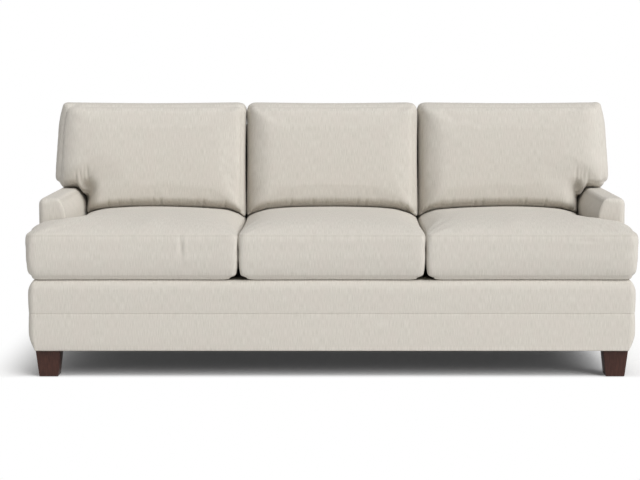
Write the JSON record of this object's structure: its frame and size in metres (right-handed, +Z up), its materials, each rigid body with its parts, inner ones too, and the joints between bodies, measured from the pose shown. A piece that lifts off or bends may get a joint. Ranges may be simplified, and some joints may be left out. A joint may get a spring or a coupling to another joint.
{
  "type": "track arm sofa",
  "caption": "Long upholstered sofa with slim square arms set back behind T-shaped loose seat cushions, loose back cushions and tapered wood legs.",
  "frame": {"origin": "on the floor, under the centre of the whole sofa's box", "axes": "+Z up, -Y towards the front of the seat, +X to the right as seen from the front"},
  "size_m": [2.146, 0.92, 0.948],
  "materials": {
    "upholstery_fabric": "woven slub upholstery fabric, oatmeal",
    "frame_timber": "sawn kiln-dried timber and plywood, unfinished",
    "spring_steel": "drawn and zinc-plated steel",
    "stained_legs": "solid wood, stained dark brown, satin",
    "cushion_foam": "open-cell cushion foam",
    "zip": "nylon coil zip on woven tape",
    "deck_cloth": "plain woven lining",
    "felt_pad": "needled felt",
    "webbing": "woven elastic webbing",
    "dust_cloth": "spun-bonded cloth",
    "glide_plastic": "moulded nylon"
  },
  "bodies": {
    "sofa_body": {"front_rail": "frame_timber", "rear_rail": "frame_timber", "spring_rail": "frame_timber", "side_rail_left": "frame_timber", "side_rail_right": "frame_timber", "cross_rails": "frame_timber", "corner_blocks": "frame_timber", "back_post_left": "frame_timber", "back_post_right": "frame_timber", "back_ribs": "frame_timber", "back_top_rail": "frame_timber", "back_lower_rail": "frame_timber", "arm_post_left": "frame_timber", "arm_post_right": "frame_timber", "arm_top_rail_left": "frame_timber", "arm_top_rail_right": "frame_timber", "arm_lower_rails": "frame_timber", "seat_springs": "spring_steel", "spring_clips": "spring_steel", "spring_ties": "spring_steel", "leg_studs": "spring_steel", "leg_nuts": "spring_steel", "frame_screws": "spring_steel", "deck_pad": "felt_pad", "deck_cover": "deck_cloth", "back_webbing": "webbing", "inside_back": "upholstery_fabric", "outside_back": "upholstery_fabric", "outside_arm_left": "upholstery_fabric", "outside_arm_right": "upholstery_fabric", "arm_cover_left": "upholstery_fabric", "arm_cover_right": "upholstery_fabric", "arm_front_left": "upholstery_fabric", "arm_front_right": "upholstery_fabric", "border_upper": "upholstery_fabric", "border_lower": "upholstery_fabric", "dust_cover": "dust_cloth", "leg_front_left": "stained_legs", "leg_front_right": "stained_legs", "leg_back_left": "stained_legs", "leg_back_right": "stained_legs", "leg_glides": "glide_plastic"},
    "seat_left": {"seat_cover_left": "upholstery_fabric", "seat_core_left": "cushion_foam", "seat_zip_left": "zip"},
    "seat_center": {"seat_cover_center": "upholstery_fabric", "seat_core_center": "cushion_foam", "seat_zip_center": "zip"},
    "seat_right": {"seat_cover_right": "upholstery_fabric", "seat_core_right": "cushion_foam", "seat_zip_right": "zip"},
    "back_left": {"back_cover_left": "upholstery_fabric", "back_core_left": "cushion_foam", "back_zip_left": "zip"},
    "back_center": {"back_cover_center": "upholstery_fabric", "back_core_center": "cushion_foam", "back_zip_center": "zip"},
    "back_right": {"back_cover_right": "upholstery_fabric", "back_core_right": "cushion_foam", "back_zip_right": "zip"}
  },
  "joints": [
    {"name": "seat_left_slide", "type": "slide", "parent": "sofa_body", "child": "seat_left", "axis": [0, -1, 0], "range_m": [0, 0.76]},
    {"name": "seat_center_slide", "type": "slide", "parent": "sofa_body", "child": "seat_center", "axis": [0, -1, 0], "range_m": [0, 0.76]},
    {"name": "seat_right_slide", "type": "slide", "parent": "sofa_body", "child": "seat_right", "axis": [0, -1, 0], "range_m": [0, 0.76]},
    {"name": "back_left_lift", "type": "slide", "parent": "sofa_body", "child": "back_left", "axis": [0, 0, 1], "range_m": [0, 0.45]},
    {"name": "back_center_lift", "type": "slide", "parent": "sofa_body", "child": "back_center", "axis": [0, 0, 1], "range_m": [0, 0.45]},
    {"name": "back_right_lift", "type": "slide", "parent": "sofa_body", "child": "back_right", "axis": [0, 0, 1], "range_m": [0, 0.45]}
  ]
}
